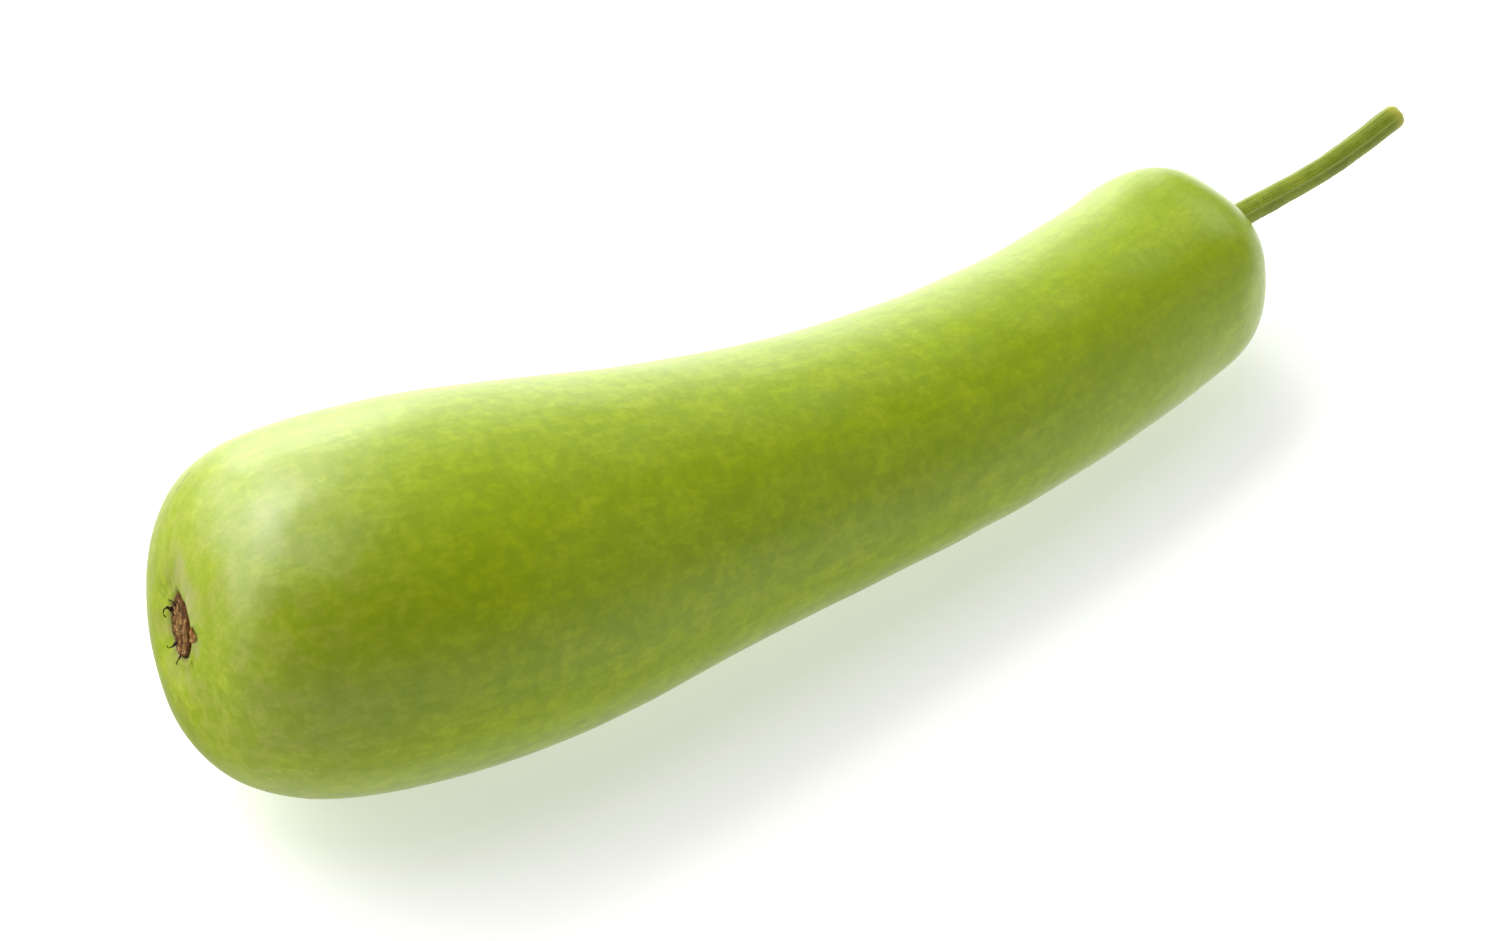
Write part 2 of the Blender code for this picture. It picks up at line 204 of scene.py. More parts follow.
# The stem: its line runs level at first, then rises to a slanted cut. Its control points are (along, up).
# The slant's power sets how late along the stem the rings start to lean
STEM_HEADING = math.radians(2)
STEM_LINE = [(0.0, 0.9), (24.0, 2.9), (44.0, 0.0), (57.0, 7.8), (68.5, 9.6)]
STEM_RADIUS = 3.6
STEM_END_RADIUS = 3.95
STEM_COLLAR_RADIUS = 4.6
STEM_COLLAR_LENGTH = 5.0
STEM_ROOT_DEPTH = 4.0
STEM_LENGTH = 70.0
STEM_RIBS = 5
STEM_RIB_SHARE = 0.05
STEM_RIB_SHARPNESS = 3
STEM_TWIST = math.radians(2)
STEM_CUT_TILT = math.radians(5)
STEM_CUT_BEVEL = 2.4
STEM_CUT_FROM = 1.6
STEM_CUT_SLANT_POWER = 6
STEM_CUT_PITH = 0.4
STEM_CUT_PITH_RADIUS = 0.05
STEM_CUT_RIM_RINGS = 8
STEM_CUT_FACE_RINGS = 5
STEM_CUT_COLOUR_FROM = 3.0
STEM_SLIMMER = 0.1
STEM_SLIMMER_OVER = (0.1, 0.5)
STEM_DIP = 1.0
STEM_SEAT_WIDTH = 10.0

# The stem's surface: fine striations, and lumps as (height, wavelength, seed)
STEM_SIDES = 120
STEM_RINGS = 150
STEM_CLEAR_OF_FRUIT = (0.5, 4.0)
STEM_STRIATIONS = 25
STEM_STRIATION = 0.035
STEM_STRIATION_WANDER = (0.8, 20.0, 21)
STEM_LUMPS = [(0.06, 9.0, 22), (0.02, 2.2, 23)]
STEM_CRUSH = [(0.12, 2.0, 24), (0.05, 0.7, 25)]
STEM_RIB_LINE_SHARPNESS = 24

# How finely the skin is cut: rings lie round the scar first, and then round the centre line
SKIN_SIDES = 224
SKIN_STEP = 1.25
SKIN_GROWTH = 1.13
SCAR_RINGS_TO = 40.0
SCAR_SHAPE_TO = 16.0
SCAR_HIDDEN_RINGS = [2.6, 5.2, 7.0]
SCAR_EDGE_RINGS = (7.5, 8.9)
SCAR_EDGE_STEP = 0.1
STEM_HOLE_RADIUS = 4.75
STEM_HOLE_DEPTH = 4.3
STEM_HOLE_STEP = 0.3
STEM_HOLE_LIP = 0.5
PROFILE_SAMPLES = (240, 120, 160, 80, 160)

# The skin's relief: long swells, shallow dents, lengthwise flutes, and folds round the scar and the stem.
# The scar's rim rolls in between two distances from its edge
SWELL = 0.35
SWELL_LENGTH = 80.0
SWELL_BEYOND_SCAR = (4.0, 30.0)
DENT = 0.07
DENT_LENGTH = 22.0
FLUTE_COUNT = 10
FLUTE = 0.04
FLUTE_WANDER = 0.6
FLUTE_FROM = (20.0, 90.0)
PUCKER = 0.1
PUCKER_AT = 1.5
PUCKER_REACH = 4.0
PUCKER_COUNTS = (5, 9, 14, 19)
CALLUS = 0.35
CALLUS_AT = 1.9
CALLUS_WIDTH = 1.3
SCAR_RIM_ROLL = (0.05, 0.5)
STEM_FOLD = 0.3
STEM_FOLD_REACH = 9.0
STEM_FINE_FOLDS = 17
STEM_FINE_FOLD_SHARE = 0.5

# Colours, in linear light. Pairs are the two ends of a noise
BELLY_GREENS = [(0.41, 0.545, 0.002), (0.46, 0.605, 0.004)]
NECK_GREENS = [(0.40, 0.55, 0.002), (0.45, 0.61, 0.003)]
# Partly the blossom end's own yellower tint, partly a painted highlight
BLOSSOM_END_TINT_AND_HIGHLIGHT = (0.46, 0.51, 0.07)
ROUND_SCAR_GREEN = (0.42, 0.42, 0.10)
BLOTCH_GREEN = (0.50, 0.63, 0.012)
MOTTLE_GREEN = (0.28, 0.40, 0.003)
STREAK_GREEN = (0.27, 0.40, 0.003)
GRAIN_GREEN = (0.27, 0.385, 0.003)
ARC_GREY = (0.47, 0.46, 0.19)
LINE_GREY = (0.20, 0.22, 0.07)
SMEAR_BROWN = (0.27, 0.23, 0.05)
# Painted shade in the seam where the skin rolls under the scar
SEAM_SHADE_BROWN = (0.07, 0.035, 0.008)
NICK_BROWN = (0.13, 0.12, 0.02)
SPECK_BROWN = (0.07, 0.05, 0.015)
STEM_GREENS = [(0.23, 0.30, 0.010), (0.33, 0.405, 0.022)]
STEM_STREAK_GREEN = (0.15, 0.21, 0.012)
STEM_SPECKLE_GREEN = (0.16, 0.215, 0.01)
STEM_RIB_GREEN = (0.50, 0.57, 0.16)
STEM_CUT_GREEN = (0.60, 0.59, 0.08)
CORK_BROWNS = [(0.095, 0.038, 0.008), (0.44, 0.25, 0.08)]
CORK_PATCH_BROWN = (0.15, 0.065, 0.018)
# Painted shade in the scar's cracks and crease
CORK_CRACK_SHADE_BROWN = (0.045, 0.016, 0.003)
# The scar's darker rim: partly the crust's own colour, partly painted shade at its seam and side wall
CORK_RIM_AND_SHADE_BROWN = (0.10, 0.038, 0.008)
FLAKE_BROWNS = [(0.17, 0.065, 0.012), (0.42, 0.21, 0.05)]
THREAD_BROWNS = [(0.012, 0.007, 0.004), (0.07, 0.03, 0.014)]

# Where a noise between 0 and 1 starts and ends to show as a spot on the skin
SOFT_SPOTS = (0.36, 0.64)

# The camera: where it looks from, and how far the origin lies off the middle of its view
CAMERA_YAW = math.radians(35.275)
CAMERA_TILT = math.radians(42.0)
CAMERA_DISTANCE = 1374.68
CAMERA_ASIDE = -25.75
CAMERA_RAISED = 12.66
CAMERA_LENS = 120.0
CAMERA_SENSOR = 36.0

# The floor, in metres: it glows a little, and lies a hair below the gourd
FLOOR_HALF_SIZE = 20.0
FLOOR_GAP = 0.0002
FLOOR_WHITE = (0.8, 0.8, 0.8)
FLOOR_GLOW = 0.5

# Softboxes of one size, in metres, all facing the origin: compass direction seen from above, height angle
# and power. The skin's gloss shows those of the key wall, and leaves out the fill
SOFTBOX_DISTANCE = 1.8
SOFTBOX_SIZE = 0.8
KEY_WALL = [
    (10, 30, 1.9),
    (33, 30, 0.7),
    (55, 13, 2.7),
    (77, 13, 5.7),
    (100, 13, 2.5),
    (122, 13, 1.6),
    (167, 13, 1.3),
    (55, 30, 0.9),
    (77, 30, 2.9),
    (100, 30, 2.4),
    (122, 30, 3.5),
    (145, 30, 4.0),
    (167, 30, 2.4),
    (77, 55, 4.5),
    (100, 55, 5.4),
    (122, 55, 5.5),
    (145, 55, 5.0),
    (167, 55, 2.6),
    (55, 86, 1.6),
    (218, 75, 2.2),
]
FILL = [
    (10, 13, 2.4),
    (10, 30, 2.8),
    (33, 30, 0.6),
    (10, 55, 0.8),
    (55, 55, 0.8),
    (77, 55, 0.5),
    (325, 13, 4.3),
    (325, 30, 1.6),
]

# The floor is left out of the gloss. What the gloss shows below the horizon is these soft glows instead:
# compass direction, height angle and strength
GLOW_SPREAD = math.radians(38)
LOW_GLOWS = [
    (-35, -28, 0.3),
    (10, -28, 1.1),
    (55, -28, 1.5),
    (55, -8, 0.3),
    (100, -8, 0.2),
    (55, -80, 0.5),
]
HORIZON_FADE = 0.1


def smooth_step(value, start, end):
    """0 before start and 1 after end, with a soft change between them."""
    share = np.clip((value - start) / (end - start), 0.0, 1.0)
    return share * share * (3 - 2 * share)


def bell(distance, width):
    """1 at no distance, fading softly to 0 over about twice the width."""
    return np.exp(-((distance / width) ** 2))


def unit(vectors):
    return vectors / np.linalg.norm(vectors, axis=-1, keepdims=True)


def waves(points, length, seed, count=24):
    """Smooth random waves over points in space, of about one wavelength and a height of about 1."""
    draw = np.random.default_rng(seed)
    directions = unit(draw.normal(size=(count, 3)))
    lengths = length * draw.uniform(0.7, 1.4, count)
    phases = draw.uniform(0.0, TURN, count)
    total = np.zeros(points.shape[:-1])
    for direction, one_length, phase in zip(directions, lengths, phases):
        total += np.sin(points @ direction * (TURN / one_length) + phase)
    return total / math.sqrt(count)


def lumps(points, layers, start=0.0):
    """Layers of waves on top of one another, each with its height, wavelength and seed."""
    return sum((height * waves(points, length, seed) for height, length, seed in layers), start)


def growing_steps(start, step, growth, widest, end):
    """Stations from start to end whose spacing grows from step until it is widest."""
    stations = [start]
    while stations[-1] + step < end:
        stations.append(stations[-1] + step)
        step = min(step * growth, widest)
    return np.array(stations) * (end / stations[-1])


def curve_points(controls, samples):
    """Points of the smooth curve that its control points pull on, by Bernstein weights."""
    controls = np.array(controls, float)
    degree = len(controls) - 1
    t = np.linspace(0.0, 1.0, samples)[:, None]
    weights = [math.comb(degree, i) * (1 - t) ** (degree - i) * t**i for i in range(degree + 1)]
    return sum(w * c for w, c in zip(weights, controls))


class Path:
    """A smooth line in space that gives its points, directions, side and upward vectors by distance."""

    def __init__(self, points):
        steps = np.linalg.norm(np.diff(points, axis=0), axis=1)
        self.points = points
        self.distance = np.concatenate([[0.0], np.cumsum(steps)])
        self.directions = unit(np.gradient(points, axis=0))
        self.length = self.distance[-1]

    def at(self, along):
        point = np.stack([np.interp(along, self.distance, self.points[:, k]) for k in range(3)], -1)
        ahead = unit(np.stack([np.interp(along, self.distance, self.directions[:, k]) for k in range(3)], -1))
        side = unit(np.cross((0.0, 0.0, 1.0), ahead))
        return point, ahead, side, np.cross(ahead, side)


def fruit_profile(length, samples):
    """(distance, radius) pairs from the blossom end to the stem end, along curved stretches."""
    third = 1.0 / 3.0
    belly_run = (TAPER_AT - BELLY_AT) * third
    neck_run = (NECK_AT - TAPER_AT) * third
    shoulder_run = (SHOULDER_AT - NECK_AT) * third
    knots = [
        ((0.0, 0.0), (0.0, 1.0), 0.0, BLOSSOM_END_HANDLE),
        ((BELLY_AT, BELLY_RADIUS), (1.0, 0.0), BELLY_HANDLE, belly_run),
        ((TAPER_AT, TAPER_RADIUS), (1.0, TAPER_SLOPE), belly_run, neck_run),
        ((NECK_AT, NECK_RADIUS), (1.0, 0.0), neck_run, shoulder_run),
        ((SHOULDER_AT, SHOULDER_RADIUS), (1.0, 0.0), shoulder_run, SHOULDER_HANDLE),
        ((length, 0.0), (0.0, -1.0), STEM_END_HANDLE, 0.0),
    ]
    profile = []
    for here, there, rings in zip(knots, knots[1:], samples):
        start, end = np.array(here[0]), np.array(there[0])
        handle_on = start + unit(np.array(here[1])) * here[3]
        handle_back = end - unit(np.array(there[1])) * there[2]
        profile.append(curve_points([start, handle_on, handle_back, end], rings + 1)[:-1])
    return np.concatenate(profile + [[(length, 0.0)]])


def swelling(along, angle):
    """The share of the radius that the fruit has at this clock angle."""
    ribs = RIB_SHARE / (1.0 + np.exp((RIB_FADE_AT - along) / RIB_FADE))
    return 1.0 + OVAL_SHARE * np.cos(2 * angle) + ribs * np.cos(RIB_COUNT * (angle - RIB_TURN))


def skin_points(path, along, radius, angle):
    """The skin's points at distances along the centre line, plain radii and clock angles."""
    point, _, side, up = path.at(along)
    lean = np.maximum(1.0 - along / BELLY_AT, 0.0)[..., None] ** 2
    far_lean = np.maximum((along - STEM_LEAN_FROM) / (path.length - STEM_LEAN_FROM), 0.0)[..., None] ** 2
    centre = point + lean * (side * BLOSSOM_LEAN_ASIDE + up * BLOSSOM_LEAN_RAISED)
    centre = centre + far_lean * side * STEM_LEAN_ASIDE
    reach = (radius * swelling(along, angle))[..., None]
    return centre + reach * (side * np.cos(angle)[..., None] + up * np.sin(angle)[..., None])


def solid_points(path):
    """The points of the fruit's solid, as plain rings round the centre line."""
    profile = fruit_profile(path.length, SOLID_RINGS)
    angles = np.arange(SOLID_SIDES) * TURN / SOLID_SIDES
    along, angle = np.meshgrid(profile[:, 0], angles, indexing="ij")
    radius = np.repeat(profile[:, 1:], SOLID_SIDES, axis=1)
    return skin_points(path, along, radius, angle).reshape(-1, 3)


def settled_spine():
    """The spine tilted and lowered so that belly and shoulder both press REST_DEPTH into the surface."""
    spine = np.array(SPINE, float)
    for _ in range(6):
        points = solid_points(Path(curve_points(spine, SPINE_SAMPLES)))
        middle = spine[-1, 0] / 2
        lows = []
        for half in (points[points[:, 0] < middle], points[points[:, 0] >= middle]):
            lows.append(half[np.argmin(half[:, 2])])
        (x0, _, z0), (x1, _, z1) = lows
        tilt = (z1 - z0) / (x1 - x0)
        spine[:, 2] -= z0 + tilt * (spine[:, 0] - x0) + REST_DEPTH
    return spine


def seated(points, seats):
    """The points drawn softly onto the flat seat under the scar or the stem, where they are near one."""
    for centre, outward, width in seats:
        distance = np.linalg.norm(points - centre, axis=-1)
        height = (points - centre) @ outward
        points = points - outward * (height * np.exp(-((distance / width) ** 4)))[..., None]
    return points


def scar_spot(path, profile):
    """The centre of the scar's seat, beside the blossom end, and the direction that the scar faces."""
    belly = profile[: PROFILE_SAMPLES[0]]
    radius = np.array(math.hypot(SCAR_ASIDE, SCAR_RAISED))
    along = np.interp(radius, belly[:, 1], belly[:, 0])
    spot = skin_points(path, along, radius, np.array(math.atan2(SCAR_RAISED, SCAR_ASIDE)))
    _, ahead, side, up = path.at(0.0)
    outward = unit(-ahead + side * math.tan(SCAR_TURN_ASIDE) - up * math.tan(SCAR_TURN_DOWN))
    return spot - outward * SCAR_DIP, outward


def scar_axes(outward):
    """The scar's own x, y and z directions, as rows."""
    z = outward
    x = unit(np.cross((0.0, 0.0, 1.0), z))
    y = np.cross(z, x)
    turn_x, turn_y = math.cos(SCAR_ROLL), math.sin(SCAR_ROLL)
    return np.array([turn_x * x + turn_y * y, turn_x * y - turn_y * x, z])


def scar_outline(angle):
    """The scar's uneven round edge: pointed at the top, flatter on one side, with five faint corners."""
    from_point = (angle - SCAR_POINT_AT + math.pi) % TURN - math.pi
    point = SCAR_POINT * bell(from_point, SCAR_POINT_WIDTH)
    lopsided = SCAR_LOPSIDED * np.cos(angle - SCAR_LOPSIDED_TO)
    corners = SCAR_CORNERS * np.cos(5 * from_point)
    wider = SCAR_WIDER * np.cos(angle) ** 2
    foot = SCAR_FOOT * np.clip(-np.sin(angle), 0.0, 1.0) ** 2
    return SCAR_RADIUS * (1.0 + point + lopsided + corners + wider - foot)


def stem_ribs(angle, sharpness):
    """1 on each rib's crest and 0 between them."""
    return ((1 + np.cos(STEM_RIBS * angle)) / 2) ** sharpness


def stem_section(along, angle):
    """The stem's radius: a collar at the fruit, then five ribs, widening slowly to the cut."""
    share = np.maximum(along, 0.0) / STEM_LENGTH
    radius = STEM_RADIUS + (STEM_END_RADIUS - STEM_RADIUS) * share
    collar = bell(np.maximum(along, 0.0), STEM_COLLAR_LENGTH)
    radius = radius + (STEM_COLLAR_RADIUS - STEM_RADIUS) * collar
    rib = stem_ribs(angle, STEM_RIB_SHARPNESS)
    return radius * (1 - STEM_RIB_SHARE / 2 + STEM_RIB_SHARE * rib * (1 - collar))


def stem_path(root, level):
    """From the bottom of its socket in the fruit's end to the cut end."""
    controls = [root + along * level + np.array([0.0, 0.0, rise]) for along, rise in STEM_LINE]
    line = curve_points(controls, SPINE_SAMPLES)
    return Path(np.concatenate([[line[0] - level * STEM_ROOT_DEPTH], line]))


class Gourd:
    """Where everything lies: the settled centre line, the scar, the stem, and the solids' own origin."""

    def __init__(self):
        self.path = Path(curve_points(settled_spine(), SPINE_SAMPLES))
        self.profile = fruit_profile(self.path.length, PROFILE_SAMPLES)
        self.scar_centre, self.scar_out = scar_spot(self.path, self.profile)
        self.axes = scar_axes(self.scar_out)
        self.root = self.path.at(self.path.length)[0]
        self.level = np.array([math.cos(STEM_HEADING), math.sin(STEM_HEADING), 0.0])
        self.stem = stem_path(self.root, self.level)
        self.seats = [
            (self.scar_centre, self.scar_out, SCAR_SEAT_WIDTH),
            (self.root - self.level * STEM_DIP, self.level, STEM_SEAT_WIDTH),
        ]
        self.origin = self.solid_origin()

    def solid_origin(self):
        """How far the solids were moved to bring their outline's centre to the origin."""
        point, _, side, _ = self.stem.at(0.0)
        angles = np.arange(SOLID_STEM_SIDES) * TURN / SOLID_STEM_SIDES
        reach = stem_section(-STEM_ROOT_DEPTH, angles)
        stem_start = (point[0] + reach * np.cos(angles) * side[0]).min()
        belly_side = solid_points(self.path)[:, 1].max()
        return np.array([
            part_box("stem")[0][0] / MM - stem_start,
            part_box("fruit")[1][1] / MM - belly_side,
            0.0,
        ])

    def placed(self, points):
        """Points in metres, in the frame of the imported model."""
        return (points + self.origin) * MM

    def on_scar(self, points):
        """Points of the scar's own frame, in the gourd's."""
        return self.scar_centre + points @ self.axes


def ring_mesh(name, rings):
    """A closed mesh through equal rings of points, with a fan of faces over each end."""
    count, sides = rings.shape[:2]
    vertices = np.concatenate([rings.reshape(-1, 3), [rings[0].mean(axis=0)], [rings[-1].mean(axis=0)]])
    here = np.arange(sides)
    there = (here + 1) % sides
    faces = []
    for k in range(count - 1):
        back, front = k * sides, (k + 1) * sides
        faces += np.stack([back + here, back + there, front + there, front + here], -1).tolist()
    first, last = count * sides, count * sides + 1
    faces += [(first, j, i) for i, j in zip(here.tolist(), there.tolist())]
    end = (count - 1) * sides
    faces += [(last, end + i, end + j) for i, j in zip(here.tolist(), there.tolist())]
    mesh = bpy.data.meshes.new(name)
    mesh.from_pydata(vertices.tolist(), [], faces)
    mesh.update()
    mesh.shade_smooth()
    return mesh


def tell_points(mesh, name, values):
    """Keeps a number or a vector on each point of a ring mesh, for its material to read."""
    values = np.asarray(values, float)
    flat = values.reshape(-1) if values.ndim == 2 else values.reshape(-1, 3)
    ends = [values[0].mean(axis=0), values[-1].mean(axis=0)]
    flat = np.concatenate([flat, ends])
    kind, key = ("FLOAT", "value") if flat.ndim == 1 else ("FLOAT_VECTOR", "vector")
    mesh.attributes.new(name, kind, "POINT").data.foreach_set(key, flat.ravel())


def show(name, mesh, material, slot, *nodes):
    """Puts a finished mesh in the scene, riding on the gourd, in the place of solid nodes."""
    piece = bpy.data.objects.new(name, mesh)
    bpy.context.scene.collection.objects.link(piece)
    mesh.materials.append(material)
    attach(piece, "root")
    if nodes:
        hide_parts(*nodes)
    return piece


def skin_places(gourd):
    """Distance along, plain radius and clock angle of each point of the skin, ring by ring."""
    belly = gourd.profile[: PROFILE_SAMPLES[0]]
    angles = np.arange(SKIN_SIDES) * TURN / SKIN_SIDES

    # Rings round the scar, seen from the blossom end, that ease into rings round the centre line
    crisp = np.arange(*SCAR_EDGE_RINGS, SCAR_EDGE_STEP)
    outer = growing_steps(crisp[-1] + SCAR_EDGE_STEP, SCAR_EDGE_STEP, SKIN_GROWTH, SKIN_STEP, SCAR_RINGS_TO)
    reach = np.concatenate([SCAR_HIDDEN_RINGS, crisp, outer])[:, None]
    scar_clock = math.pi - SCAR_ROLL - angles[None]
    shape = scar_outline(scar_clock) / SCAR_RADIUS - 1.0
    reach_here = reach * (1.0 + shape * (1.0 - smooth_step(reach, SCAR_RADIUS, SCAR_SHAPE_TO)))
    shift = (1.0 - (reach / SCAR_RINGS_TO) ** 2) ** 2
    aside = SCAR_ASIDE * shift + reach_here * np.cos(angles)
    raised = SCAR_RAISED * shift + reach_here * np.sin(angles)
    radius = np.hypot(aside, raised)
    angle = np.arctan2(raised, aside)
    along = np.interp(radius, belly[:, 1], belly[:, 0])

    # Plain rings from there to the hole that the stem stands in, by distance over the skin
    run = np.concatenate([[0.0], np.cumsum(np.linalg.norm(np.diff(gourd.profile, axis=0), axis=1))])
    edge_run = np.interp(SCAR_RINGS_TO, belly[:, 1], run[: PROFILE_SAMPLES[0]])
    to_go = growing_steps(STEM_HOLE_RADIUS, STEM_HOLE_STEP, SKIN_GROWTH, SKIN_STEP, run[-1] - edge_run)
    stations = run[-1] - to_go[::-1][1:]
    body_along = np.interp(stations, run, gourd.profile[:, 0])[:, None]
    body_radius = np.interp(stations, run, gourd.profile[:, 1])[:, None]
    flat = np.ones(SKIN_SIDES)[None]
    return (
        np.concatenate([along, body_along * flat]),
        np.concatenate([radius, body_radius * flat]),
        np.concatenate([angle, flat * angles * np.ones_like(body_along)]),
    )


def grid_normals(grid):
    """Outward directions over a grid of rings."""
    around = np.roll(grid, -1, axis=1) - np.roll(grid, 1, axis=1)
    onward = np.gradient(grid, axis=0)
    return unit(np.cross(around, onward))


def skin_relief(gourd, points, along, angle, edge, scar_clock):
    """How far the skin stands off its plain shape."""
    relief = SWELL * waves(points, SWELL_LENGTH, seed=11) * smooth_step(edge, *SWELL_BEYOND_SCAR)
    relief += DENT * waves(points, DENT_LENGTH, seed=12)
    wander = FLUTE_WANDER * waves(points, SWELL_LENGTH, seed=13)
    relief += FLUTE * smooth_step(along, *FLUTE_FROM) * np.cos(FLUTE_COUNT * angle + wander)

    # Uneven creases that run out from the scar's edge, and a low callus round it
    draw = np.random.default_rng(14)
    creases = sum(np.cos(n * scar_clock + draw.uniform(0, TURN)) / 2 for n in PUCKER_COUNTS)
    relief += PUCKER * creases * bell(edge - PUCKER_AT, PUCKER_REACH)
    relief += CALLUS * bell(edge - CALLUS_AT, CALLUS_WIDTH)

    # Folds that gather at the stem
    stem_edge = np.linalg.norm(points - gourd.root, axis=-1) - STEM_HOLE_RADIUS
    folds = np.cos(2 * STEM_RIBS * angle + wander) + STEM_FINE_FOLD_SHARE * np.cos(STEM_FINE_FOLDS * angle)
    relief += STEM_FOLD * folds * bell(stem_edge, STEM_FOLD_REACH)
    return relief


def sunk_at_scar(gourd, points, edge):
    """The points with a shallow recess under the scar, whose rim rolls in softly."""
    height = (points - gourd.scar_centre) @ gourd.scar_out
    inside = 1.0 - smooth_step(edge, *SCAR_RIM_ROLL)
    return points - gourd.scar_out * (inside * (height + SCAR_SUNK))[..., None]


def skin_mesh(gourd):
    along, radius, angle = skin_places(gourd)
    points = seated(skin_points(gourd.path, along, radius, angle), gourd.seats)
    on_scar = (points - gourd.scar_centre) @ gourd.axes.T
    scar_clock = np.arctan2(on_scar[..., 1], on_scar[..., 0])
    edge = np.linalg.norm(on_scar, axis=-1) - scar_outline(scar_clock)
    relief = skin_relief(gourd, points, along, angle, edge, scar_clock)
    points = points + grid_normals(points) * relief[..., None]
    points = sunk_at_scar(gourd, points, edge)

    # The hole that the stem stands in
    rim = points[-1]
    floor = rim - gourd.level * STEM_HOLE_DEPTH
    points = np.concatenate([points, [rim - gourd.level * STEM_HOLE_LIP], [floor]])
    points[..., 2] = np.maximum(points[..., 2], 0.0)

    mesh = ring_mesh("fruit_skin", gourd.placed(points))
    extra = np.stack([along, radius * np.cos(angle), radius * np.sin(angle)], -1)
    tell_points(mesh, "skin_place", np.concatenate([extra, extra[-1:], extra[-1:]]))
    tell_points(mesh, "scar_edge", np.concatenate([edge, edge[-1:], edge[-1:]]))
    return mesh


class Nodes:
    """A node tree, with one short call for each kind of node that is used."""

    def __init__(self, tree):
        self.tree = tree

    def add(self, kind, inputs, **settings):
        """A new node. An input is a plain value, or the output of another node."""
        node = self.tree.nodes.new("ShaderNode" + kind)
        for name, value in settings.items():
            setattr(node, name, value)
        for name, value in inputs.items():
            self.fill(node.inputs[name], value)
        return node

    def fill(self, socket, value):
        if isinstance(value, bpy.types.NodeSocket):
            self.tree.links.new(value, socket)
        elif socket.type == "RGBA":
            socket.default_value = (*value, 1.0)
        else:
            socket.default_value = value

    def place(self, name):
        return self.add("Attribute", {}, attribute_name=name).outputs["Vector"]

    def number(self, name):
        return self.add("Attribute", {}, attribute_name=name).outputs["Fac"]

    def noise(self, place, size, detail=2.0, roughness=0.5):
        """Cloudy noise between 0 and 1 whose blotches are about as wide as size, in the place's units."""
        values = {"Vector": place, "Scale": 1.0 / size, "Detail": detail, "Roughness": roughness}
        return self.add("TexNoise", values).outputs[0]

    def calmed(self, noise, share):
        """The noise with only a share of its swings round the middle."""
        swing = self.math("MULTIPLY", self.math("SUBTRACT", noise, 0.5), share)
        return self.math("ADD", swing, 0.5)

    def stretch(self, place, x, y, z):
        return self.vector("MULTIPLY", place, (x, y, z))

    def vector(self, operation, a, b):
        return self.add("VectorMath", {0: a, 1: b}, operation=operation).outputs["Vector"]

    def math(self, operation, a, b, clamp=False):
        return self.add("Math", {0: a, 1: b}, operation=operation, use_clamp=clamp).outputs[0]

    def ease(self, value, start, end, low=0.0, high=1.0):
        """Low before start and high after end, with a soft change between them."""
        inputs = {"Value": value, "From Min": start, "From Max": end, "To Min": low, "To Max": high}
        return self.add("MapRange", inputs, interpolation_type="SMOOTHSTEP").outputs[0]

    def mix(self, factor, a, b):
        node = self.add("Mix", {"Factor": factor}, data_type="RGBA")
        self.fill(node.inputs[6], a)
        self.fill(node.inputs[7], b)
        return node.outputs[2]

    def tinted(self, colour, tint, value, start, end, low=0.0, high=1.0):
        """The colour, drawn towards a tint by the eased value."""
        return self.mix(self.ease(value, start, end, low, high), colour, tint)

    def bump(self, height, depth, below=None):
        """Small relief: a height from 0 to 1 stands for this depth in millimetres."""
        inputs = {"Height": height, "Distance": depth * MM, "Strength": 1.0}
        if below is not None:
            inputs["Normal"] = below
        return self.add("Bump", inputs).outputs["Normal"]

    def segment(self, place, start, end):
        """The distance from a straight segment, in the place's units."""
        start, end = np.array(start, float), np.array(end, float)
        run = end - start
        from_start = self.vector("SUBTRACT", place, tuple(start))
        inputs = {0: from_start, 1: tuple(run / (run @ run))}
        share = self.add("VectorMath", inputs, operation="DOT_PRODUCT").outputs["Value"]
        share = self.math("MULTIPLY", share, 1.0, clamp=True)
        nearest = self.add("VectorMath", {0: tuple(run), "Scale": share}, operation="SCALE").outputs["Vector"]
        inputs = {0: from_start, 1: nearest}
        return self.add("VectorMath", inputs, operation="DISTANCE").outputs["Value"]


class Shader(Nodes):
    """A material's nodes, and the surface that they end in."""

    def __init__(self, name, **settings):
        self.material = bpy.data.materials.new(name)
        self.material.use_nodes = True
        super().__init__(self.material.node_tree)
        self.surface = self.tree.nodes["Principled BSDF"]
        for socket, value in settings.items():
            self.surface.inputs[socket.replace("_", " ")].default_value = value

    def surface_gets(self, **values):
        for name, value in values.items():
            self.fill(self.surface.inputs[name.replace("_", " ")], value)


def nearest_segment(shader, place, points):
    """The distance from a bent line through points."""
    distances = [shader.segment(place, start, end) for start, end in zip(points, points[1:])]
    nearest = distances[0]
    for distance in distances[1:]:
        nearest = shader.math("MINIMUM", nearest, distance)
    return nearest


